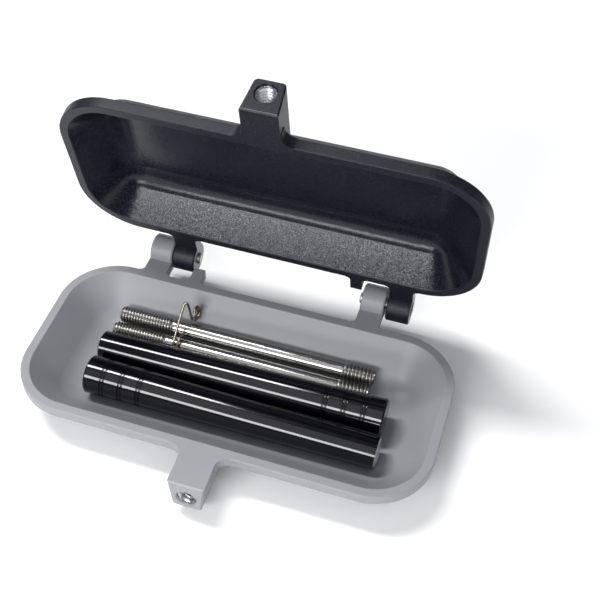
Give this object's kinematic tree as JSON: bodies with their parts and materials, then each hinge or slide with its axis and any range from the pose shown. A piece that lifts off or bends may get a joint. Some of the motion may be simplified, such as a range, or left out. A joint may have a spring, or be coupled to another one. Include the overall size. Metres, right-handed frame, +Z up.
{
  "type": "folding sandwich press",
  "caption": "Hinged two-pan camp sandwich press with flanged oblong bowls, threaded handle bosses and a take-down rod-and-tube handle stowed in the base.",
  "frame": {"origin": "centre of the base pan's flat bottom face, on the surface it stands on", "axes": "+X along the pans, +Y from the handle boss towards the hinges, +Z up"},
  "size_m": [0.14, 0.1005, 0.1076],
  "materials": {
    "base_coating": "satin light grey coating on cast aluminium",
    "lid_coating": "semi-gloss black non-stick coating with fine metal flake",
    "pin_steel": "plain steel",
    "tube_anodise": "gloss black anodised",
    "rod_steel": "polished",
    "spring_steel": "drawn wire"
  },
  "bodies": {
    "base": {"base_pan": "base_coating", "hinge_pin_left": "pin_steel", "hinge_pin_right": "pin_steel"},
    "lid": {"lid_pan": "lid_coating"},
    "rear_tube": {"handle_tube_rear": "tube_anodise"},
    "front_tube": {"handle_tube_front": "tube_anodise"},
    "rods": {"handle_rod_rear": "rod_steel", "handle_rod_front": "rod_steel"},
    "clip": {"wire_clip": "spring_steel"}
  },
  "joints": [
    {"name": "lid_hinge", "type": "hinge", "parent": "base", "child": "lid", "pos_m": [0, 0.0448, 0.0156], "axis": [1, 0, 0], "range_deg": [-103.3, 76.7]},
    {"name": "rear_tube_lift", "type": "slide", "parent": "base", "child": "rear_tube", "axis": [0, 0, 1], "range_m": [0, 0.08]},
    {"name": "front_tube_lift", "type": "slide", "parent": "base", "child": "front_tube", "axis": [0, 0, 1], "range_m": [0, 0.08]},
    {"name": "rods_lift", "type": "slide", "parent": "base", "child": "rods", "axis": [0, 0, 1], "range_m": [0, 0.07]},
    {"name": "clip_lift", "type": "slide", "parent": "rods", "child": "clip", "axis": [0, 0, 1], "range_m": [0, 0.05]}
  ]
}
